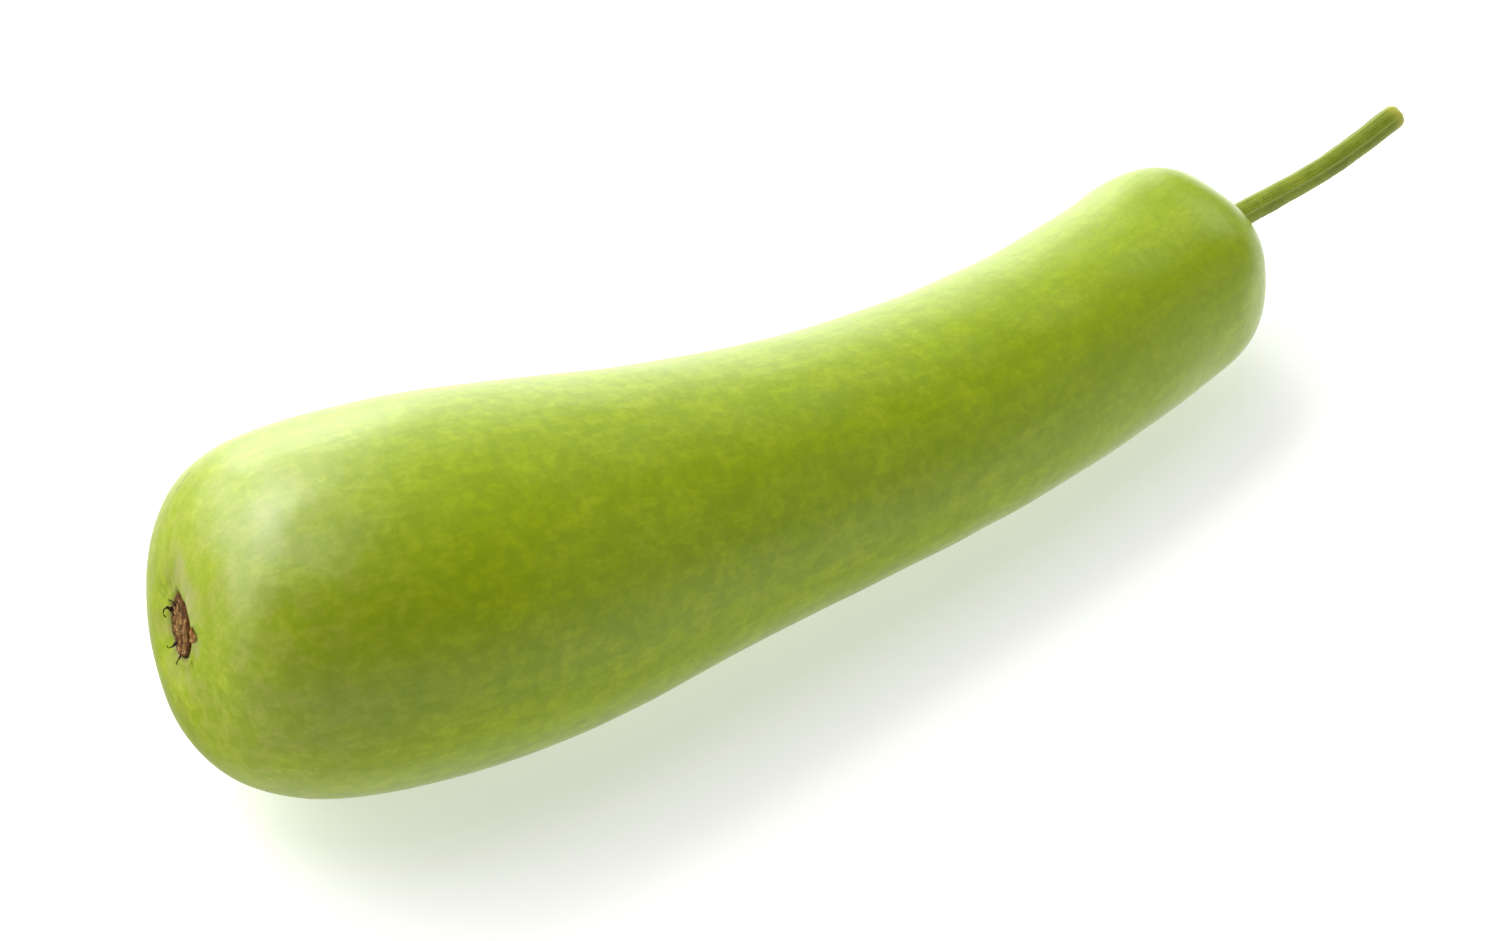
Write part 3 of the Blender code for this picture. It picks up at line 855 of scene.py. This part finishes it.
def skin_material():
    shader = Shader(
        "waxy_skin",
        Roughness=0.33,
        Specular_IOR_Level=1.0,
        Subsurface_Weight=0.15,
        Subsurface_Radius=(1.0, 0.8, 0.25),
        Subsurface_Scale=3 * MM,
    )
    place = shader.place("skin_place")
    edge = shader.number("scar_edge")
    along = shader.add("SeparateXYZ", {0: place}).outputs[0]
    shaken = shader.add("TexNoise", {"Vector": place, "Scale": 0.6, "Detail": 2.0}).outputs["Color"]
    wavering = shader.vector("ADD", place, shader.vector("SUBTRACT", shaken, (0.5, 0.5, 0.5)))

    # Clouds and spots of several sizes, which are calmer on the neck
    clouds = shader.noise(place, 26.0, detail=3.0, roughness=0.55)
    neck_calm = shader.ease(along, 190.0, 300.0, 1.0, 0.4)
    blotches = shader.calmed(shader.noise(place, 8.0, detail=3.0, roughness=0.6), neck_calm)
    mottles = shader.calmed(shader.noise(place, 4.0, detail=2.0, roughness=0.5), neck_calm)
    grain = shader.noise(shader.stretch(place, 0.6, 1.0, 1.0), 1.3, detail=2.0, roughness=0.5)
    streaks = shader.noise(shader.stretch(place, 0.12, 1.0, 1.0), 2.6, detail=3.0, roughness=0.6)
    spots = [
        (blotches, BLOTCH_GREEN, 0.8),
        (mottles, MOTTLE_GREEN, 0.5),
        (streaks, STREAK_GREEN, 0.25),
        (grain, GRAIN_GREEN, 0.25),
    ]

    # The ground colour, from the belly to the greener neck and paler by the scar, with the spots on it.
    # Towards the blossom end it is yellower and paler, partly the skin's own tint and partly a painted
    # highlight
    belly = shader.mix(shader.ease(clouds, 0.3, 0.7), *BELLY_GREENS)
    neck = shader.mix(shader.ease(clouds, 0.3, 0.7), *NECK_GREENS)
    colour = shader.mix(shader.ease(along, 60.0, 260.0), belly, neck)
    colour = shader.tinted(colour, BLOSSOM_END_TINT_AND_HIGHLIGHT, along, 0.0, 75.0, 0.85, 0.0)
    colour = shader.tinted(colour, ROUND_SCAR_GREEN, edge, 0.0, 16.0, 0.6, 0.0)
    for spot, tint, strength in spots:
        colour = shader.tinted(colour, tint, spot, *SOFT_SPOTS, 0.0, strength)

    # A pale greyish arc beside the scar, faint grey lines, and a dark brown seam of painted shade where the
    # skin rolls under it
    uneven = shader.ease(blotches, 0.2, 0.8, -2.0, 2.0)
    arc = shader.math("ADD", nearest_segment(shader, place, PALE_ARC), uneven)
    colour = shader.tinted(colour, ARC_GREY, arc, 0.0, 5.5, 0.55, 0.0)
    for start, end in GREY_LINES:
        line = shader.segment(wavering, start, end)
        colour = shader.tinted(colour, LINE_GREY, line, 0.1, 0.5, 0.3, 0.0)
    smear = shader.math("ADD", edge, shader.ease(streaks, 0.3, 0.7, -0.5, 0.5))
    colour = shader.tinted(colour, SMEAR_BROWN, smear, 0.5, 2.2, 0.5, 0.0)
    colour = shader.tinted(colour, SEAM_SHADE_BROWN, edge, 0.1, 0.5, 1.0, 0.0)

    # A nick near the blossom end, and a few dark specks
    nick = shader.segment(wavering, *NICK)
    colour = shader.tinted(colour, NICK_BROWN, nick, 0.15, 0.5, 0.85, 0.0)
    for start, end, width in SPECKS:
        speck = shader.segment(place, start, end)
        colour = shader.tinted(colour, SPECK_BROWN, speck, width * 0.6, width * 1.4, 0.8, 0.0)

    relief = shader.bump(shader.noise(place, 1.0, detail=2.0), 0.03)
    relief = shader.bump(shader.noise(place, 4.5, detail=3.0), 0.12, relief)
    relief = shader.bump(streaks, 0.05, relief)
    shader.surface_gets(Base_Color=colour, Normal=relief)
    return shader.material


def stem_grid(gourd):
    """Rings of the stem's points, with the distance along and the clock angle that each rib keeps to."""
    stations = np.linspace(0.0, gourd.stem.length - STEM_CUT_FROM, STEM_RINGS)
    angles = np.arange(STEM_SIDES) * TURN / STEM_SIDES
    distance, angle = np.meshgrid(stations, angles, indexing="ij")
    point, ahead, side, up = gourd.stem.at(distance)
    share = distance / gourd.stem.length
    clock = angle - STEM_TWIST * share
    along = distance - STEM_ROOT_DEPTH
    reach = stem_section(along, clock) * (1.0 - STEM_SLIMMER * smooth_step(share, *STEM_SLIMMER_OVER))
    slant = share**STEM_CUT_SLANT_POWER * math.tan(STEM_CUT_TILT)
    across = side * np.cos(angle)[..., None] + up * np.sin(angle)[..., None]
    points = point + reach[..., None] * across - ahead * (slant * reach * np.sin(angle))[..., None]
    return points, along, clock


def stem_cut(rim, ahead):
    """Rings over the cut end and their rise: a rounded crushed rim, then a face with a sunk pith."""
    centre = rim.mean(axis=0)
    face = 1 - STEM_CUT_BEVEL / STEM_END_RADIUS
    turns = np.linspace(0.0, math.pi / 2, STEM_CUT_RIM_RINGS + 1)[1:]
    inner = np.linspace(face, STEM_CUT_PITH_RADIUS, STEM_CUT_FACE_RINGS + 1)[1:]
    insets = np.concatenate([face + (1 - face) * np.cos(turns), inner])
    rises = np.concatenate([STEM_CUT_BEVEL * np.sin(turns), np.full_like(inner, STEM_CUT_BEVEL)])
    rises = rises - STEM_CUT_PITH * smooth_step(-insets, -face, 0.0)
    cut = centre + insets[:, None, None] * (rim - centre) + (rises[:, None] * ahead)[:, None]
    return cut + ahead * lumps(cut, STEM_CRUSH)[..., None], rises


def stem_mesh(gourd):
    points, along, clock = stem_grid(gourd)

    # Fine striations between the ribs, and slow unevenness
    wander, wander_length, seed = STEM_STRIATION_WANDER
    wandering = STEM_STRIATIONS * clock + wander * waves(points, wander_length, seed)
    relief = lumps(points, STEM_LUMPS, STEM_STRIATION * np.cos(wandering))
    relief = smooth_step(along, *STEM_CLEAR_OF_FRUIT) * relief
    points = points + grid_normals(points) * relief[..., None]

    cut, rises = stem_cut(points[-1], gourd.stem.at(gourd.stem.length)[1])
    points = np.concatenate([points, cut])
    end = along[-1, 0]
    along = np.concatenate([along, np.repeat(end + rises[:, None], STEM_SIDES, axis=1)])
    clock = np.concatenate([clock, np.repeat(clock[-1:], len(cut), axis=0)])

    mesh = ring_mesh("stem_stalk", gourd.placed(points))
    place = np.stack([along, STEM_RADIUS * np.cos(clock), STEM_RADIUS * np.sin(clock)], -1)
    tell_points(mesh, "stem_place", place)
    tell_points(mesh, "rib", stem_ribs(clock, STEM_RIB_LINE_SHARPNESS))
    tell_points(mesh, "cut", smooth_step(along, end - STEM_CUT_COLOUR_FROM, end + STEM_CUT_BEVEL))
    return mesh


def stem_material():
    shader = Shader(
        "stem_finish",
        Roughness=0.6,
        Specular_IOR_Level=0.3,
        Sheen_Weight=0.5,
        Sheen_Roughness=0.4,
    )
    place = shader.place("stem_place")
    rib = shader.number("rib")
    cut = shader.number("cut")
    streaks = shader.noise(shader.stretch(place, 0.08, 1.0, 1.0), 0.8, detail=3.0, roughness=0.6)
    patches = shader.noise(place, 9.0, detail=3.0)
    speckle = shader.noise(place, 0.7, detail=2.0, roughness=0.6)
    colour = shader.mix(shader.ease(patches, 0.3, 0.7), *STEM_GREENS)
    colour = shader.tinted(colour, STEM_STREAK_GREEN, streaks, 0.4, 0.7, 0.0, 0.35)
    colour = shader.tinted(colour, STEM_SPECKLE_GREEN, speckle, 0.42, 0.62, 0.0, 0.5)
    colour = shader.mix(shader.math("MULTIPLY", rib, 0.6), colour, STEM_RIB_GREEN)
    colour = shader.mix(cut, colour, STEM_CUT_GREEN)
    shader.surface_gets(Base_Color=colour, Normal=shader.bump(streaks, 0.08))
    return shader.material


def bent_line_distance(flat, points):
    """The distance of flat points from a bent line."""
    nearest = np.full(flat.shape[:-1], np.inf)
    for start, end in zip(np.array(points[:-1]), np.array(points[1:])):
        run = end - start
        share = np.clip((flat - start) @ run / (run @ run), 0.0, 1.0)
        nearest = np.minimum(nearest, np.linalg.norm(flat - start - share[..., None] * run, axis=-1))
    return nearest


def scar_mesh(gourd):
    """The corky disc: a cracked, hollow face inside an uneven lip, on a side wall whose dark colour is partly
    the crust's own and partly painted shade.
    """
    angles = np.arange(CORK_SIDES) * TURN / CORK_SIDES
    outline = scar_outline(angles)
    stations = list(CORK_WALL)
    for share in np.linspace(*CORK_FACE, CORK_RINGS):
        hollow = CORK_HOLLOW * (1 - bell(CORK_HOLLOW_FROM - share, CORK_HOLLOW_WIDTH))
        stations.append((share, SCAR_PROUD - hollow))
    rings = []
    for share, height in stations:
        reach = outline * share
        level = np.full(CORK_SIDES, height)
        rings.append(np.stack([reach * np.cos(angles), reach * np.sin(angles), level], -1))
    rings = np.array(rings)
    share = np.hypot(rings[..., 0], rings[..., 1]) / outline

    # The crust's lumps, its net of cracks, and the crease, which also get painted shade
    top = smooth_step(rings[..., 2], *CORK_TOP)
    net = sum(bell(waves(rings, size, seed), width) for size, width, seed in CORK_CRACKS)
    crease = bell(bent_line_distance(rings[..., :2], CREASE), CREASE_WIDTH)
    within = 1.0 - smooth_step(share, *CORK_CRACKS_WITHIN)
    crack_shade = np.clip(net * within * CORK_CRACK_SHADE_SHARE + crease, 0.0, 1.0)
    rings[..., 2] += top * (lumps(rings, CORK_LUMPS) - CORK_CRACK * net - CREASE_DEPTH * crease)
    rings[..., 2] = np.maximum(rings[..., 2], SCAR_FLOOR)
    mesh = ring_mesh("scar_cork", gourd.placed(gourd.on_scar(rings)))
    tell_points(mesh, "scar_place", rings)
    tell_points(mesh, "share", share)
    tell_points(mesh, "crack_shade", crack_shade)
    return mesh


def flake_mesh(gourd):
    """A thin curled flake of dry skin, longer than it is wide."""
    angles = np.arange(FLAKE_SIDES) * TURN / FLAKE_SIDES
    outline = sum((share * np.cos(count * angles + turn) for count, share, turn in FLAKE_LOBES), 1.0)
    outward = np.array([math.cos(FLAKE_CLOCK), math.sin(FLAKE_CLOCK), 0.0])
    beside = np.array([-outward[1], outward[0], 0.0])
    centre = FLAKE_REACH * outward
    under = [(share, -1) for share in np.linspace(FLAKE_INNER, 1.0, FLAKE_RINGS)]
    over = [(share, 1) for share in np.linspace(1.0, FLAKE_INNER, FLAKE_RINGS)]
    rings = []
    for share, face in under + over:
        x = FLAKE_WIDE * share * outline * np.cos(angles)
        y = FLAKE_LONG * share * outline * np.sin(angles)
        lift = FLAKE_HEIGHT - FLAKE_SLOPE * x + FLAKE_WAVE * np.cos(FLAKE_WAVE_TURN * y + x)
        lift = lift + face * FLAKE_THICK * math.sqrt(max(1.0 - share**4, FLAKE_EDGE_LEAST))
        rings.append(centre + x[:, None] * outward + y[:, None] * beside + lift[:, None] * (0.0, 0.0, 1.0))
    rings = np.array(rings)
    rings[..., 2] += lumps(rings, FLAKE_LUMPS)
    mesh = ring_mesh("scar_flake", gourd.placed(gourd.on_scar(rings)))
    tell_points(mesh, "scar_place", rings)
    return mesh


def cork_material():
    shader = Shader("cork", Roughness=0.85, Specular_IOR_Level=0.15)
    place = shader.place("scar_place")
    share = shader.number("share")
    crack_shade = shader.number("crack_shade")
    fibres = shader.noise(place, 2.0, detail=4.0, roughness=0.72)
    patches = shader.noise(place, 3.6, detail=2.0)
    colour = shader.mix(shader.ease(fibres, 0.41, 0.61), *CORK_BROWNS)
    colour = shader.tinted(colour, CORK_PATCH_BROWN, patches, 0.45, 0.62, 0.0, 0.55)
    # Painted shade in the cracks and the crease
    colour = shader.mix(shader.math("MULTIPLY", crack_shade, 0.9), colour, CORK_CRACK_SHADE_BROWN)
    # Darker towards the rim and side wall: partly the crust's own colour, partly painted shade
    colour = shader.tinted(colour, CORK_RIM_AND_SHADE_BROWN, share, 0.84, 0.95, 0.0, 0.9)
    shader.surface_gets(Base_Color=colour, Normal=shader.bump(fibres, 0.2))
    return shader.material


def flake_material():
    shader = Shader("dry_flake", Roughness=0.75, Specular_IOR_Level=0.15)
    place = shader.place("scar_place")
    fibres = shader.noise(place, 1.5, detail=4.0, roughness=0.7)
    colour = shader.mix(shader.ease(fibres, 0.4, 0.62), *FLAKE_BROWNS)
    shader.surface_gets(Base_Color=colour, Normal=shader.bump(fibres, 0.15))
    return shader.material


def thread_mesh(gourd, number, clock, offsets):
    """One dried thread: a thin crooked tube that leaves the scar's edge."""
    clock = math.radians(clock)
    edge = scar_outline(np.array(clock)) * THREAD_ROOT_EDGE
    outward = np.array([math.cos(clock), math.sin(clock), 0.0])
    rim = outward * edge + (0.0, 0.0, SCAR_PROUD - THREAD_RADIUS * THREAD_SUNK_SHARE)
    controls = [rim - outward * THREAD_ROOT_DEPTH, rim] + [rim + np.array(offset) for offset in offsets]
    path = Path(curve_points(controls, SPINE_SAMPLES))
    angles = np.arange(THREAD_SIDES) * TURN / THREAD_SIDES
    share, angle = np.meshgrid(np.linspace(0.0, 1.0, THREAD_RINGS), angles, indexing="ij")
    point, _, side, up = path.at(path.length * share)

    # It tapers to a round tip, and spreads into a web where it leaves the rim
    radius = THREAD_RADIUS + (THREAD_TIP_RADIUS - THREAD_RADIUS) * smooth_step(share, *THREAD_TAPER)
    radius = radius * np.sqrt(np.clip((1.0 - share) / THREAD_ROUND_TIP, THREAD_TIP_LEAST, 1.0))
    from_rim = np.maximum(path.length * share - THREAD_ROOT_DEPTH, 0.0)
    spread = 1.0 + (THREAD_ROOT_SPREADS[number] - 1.0) * bell(from_rim, THREAD_ROOT_REACH)
    across = side * (spread * np.cos(angle))[..., None] + up * np.sin(angle)[..., None]
    rings = point + radius[..., None] * across
    wobble = waves(rings, THREAD_WOBBLE_LENGTH, THREAD_FIRST_SEED + number)
    rings = rings + THREAD_WOBBLE * across * wobble[..., None]
    return ring_mesh("scar_thread_%d" % number, gourd.placed(gourd.on_scar(rings)))


def thread_material():
    shader = Shader("dry_threads", Roughness=0.7, Specular_IOR_Level=0.2)
    coordinates = shader.add("TexCoord", {}).outputs["Object"]
    patches = shader.noise(coordinates, 0.8 * MM, detail=3.0)
    shader.surface_gets(Base_Color=shader.mix(shader.ease(patches, 0.3, 0.7), *THREAD_BROWNS))
    return shader.material


def make_floor():
    mesh = bpy.data.meshes.new("floor")
    signs = [(-1, -1), (1, -1), (1, 1), (-1, 1)]
    corners = [(x * FLOOR_HALF_SIZE, y * FLOOR_HALF_SIZE, 0.0) for x, y in signs]
    mesh.from_pydata(corners, [], [(0, 1, 2, 3)])
    shader = Shader("pale_floor", Roughness=0.9, Emission_Color=(1.0, 1.0, 1.0, 1.0))
    shader.surface_gets(Base_Color=FLOOR_WHITE, Emission_Strength=FLOOR_GLOW)
    mesh.materials.append(shader.material)
    floor = bpy.data.objects.new("floor", mesh)
    floor.location.z = -FLOOR_GAP
    floor.visible_glossy = False
    bpy.context.scene.collection.objects.link(floor)


def make_camera():
    sin_yaw, cos_yaw = math.sin(CAMERA_YAW), math.cos(CAMERA_YAW)
    sin_tilt, cos_tilt = math.sin(CAMERA_TILT), math.cos(CAMERA_TILT)
    right = Vector((cos_yaw, -sin_yaw, 0.0))
    ahead = Vector((sin_yaw * cos_tilt, cos_yaw * cos_tilt, -sin_tilt))
    up = right.cross(ahead)
    location = right * CAMERA_ASIDE + up * CAMERA_RAISED - ahead * CAMERA_DISTANCE
    data = bpy.data.cameras.new("camera")
    data.lens = CAMERA_LENS
    data.sensor_width = CAMERA_SENSOR
    camera = bpy.data.objects.new("camera", data)
    turn = Matrix((right, up, -ahead)).transposed().to_4x4()
    camera.matrix_world = Matrix.Translation(location * MM) @ turn
    bpy.context.scene.collection.objects.link(camera)
    bpy.context.scene.camera = camera


def towards(compass, height):
    """The direction of a light, seen from the origin."""
    compass, height = math.radians(compass), math.radians(height)
    level = math.cos(height)
    return Vector((math.cos(compass) * level, math.sin(compass) * level, math.sin(height)))


def make_softbox(name, compass, height, power, in_gloss):
    data = bpy.data.lights.new(name, "AREA")
    data.shape = "SQUARE"
    data.size = SOFTBOX_SIZE
    data.energy = power
    light = bpy.data.objects.new(name, data)
    light.location = towards(compass, height) * SOFTBOX_DISTANCE
    light.rotation_euler = light.location.to_track_quat("Z", "Y").to_euler()
    light.visible_glossy = in_gloss
    bpy.context.scene.collection.objects.link(light)


def make_lights():
    for number, (compass, height, power) in enumerate(KEY_WALL):
        make_softbox("key_%02d" % number, compass, height, power, True)
    for number, (compass, height, power) in enumerate(FILL):
        make_softbox("fill_%d" % number, compass, height, power, False)
    bpy.context.scene.view_settings.view_transform = "Standard"


def make_world():
    """Black above the horizon, with the soft glows below it."""
    world = bpy.data.worlds.new("studio")
    world.use_nodes = True
    nodes = Nodes(world.node_tree)
    direction = nodes.add("TexCoord", {}).outputs["Generated"]
    total = 0.0
    for compass, height, strength in LOW_GLOWS:
        inputs = {0: direction, 1: towards(compass, height)}
        nearness = nodes.add("VectorMath", inputs, operation="DOT_PRODUCT").outputs["Value"]
        glow = nodes.ease(nearness, math.cos(GLOW_SPREAD), 1.0, 0.0, strength)
        total = nodes.math("ADD", glow, total)
    raised = nodes.add("SeparateXYZ", {0: direction}).outputs[2]
    below = nodes.ease(raised, 0.0, HORIZON_FADE, 1.0, 0.0)
    background = world.node_tree.nodes["Background"]
    nodes.fill(background.inputs["Color"], (1.0, 1.0, 1.0))
    nodes.fill(background.inputs["Strength"], nodes.math("MULTIPLY", total, below))
    bpy.context.scene.world = world


def build():
    gourd = Gourd()
    make_camera()
    make_lights()
    make_world()
    make_floor()
    show("fruit_skin", skin_mesh(gourd), skin_material(), "gourd_skin", "fruit")
    show("stem_stalk", stem_mesh(gourd), stem_material(), "gourd_stem", "stem")
    show("scar_cork", scar_mesh(gourd), cork_material(), "dry_blossom_scar", "blossom_scar")
    show("scar_flake", flake_mesh(gourd), flake_material(), "dry_blossom_scar")
    threads = thread_material()
    for number, (clock, offsets) in enumerate(THREADS):
        thread = thread_mesh(gourd, number, clock, offsets)
        show("scar_thread_%d" % number, thread, threads, "dry_blossom_scar")


build()
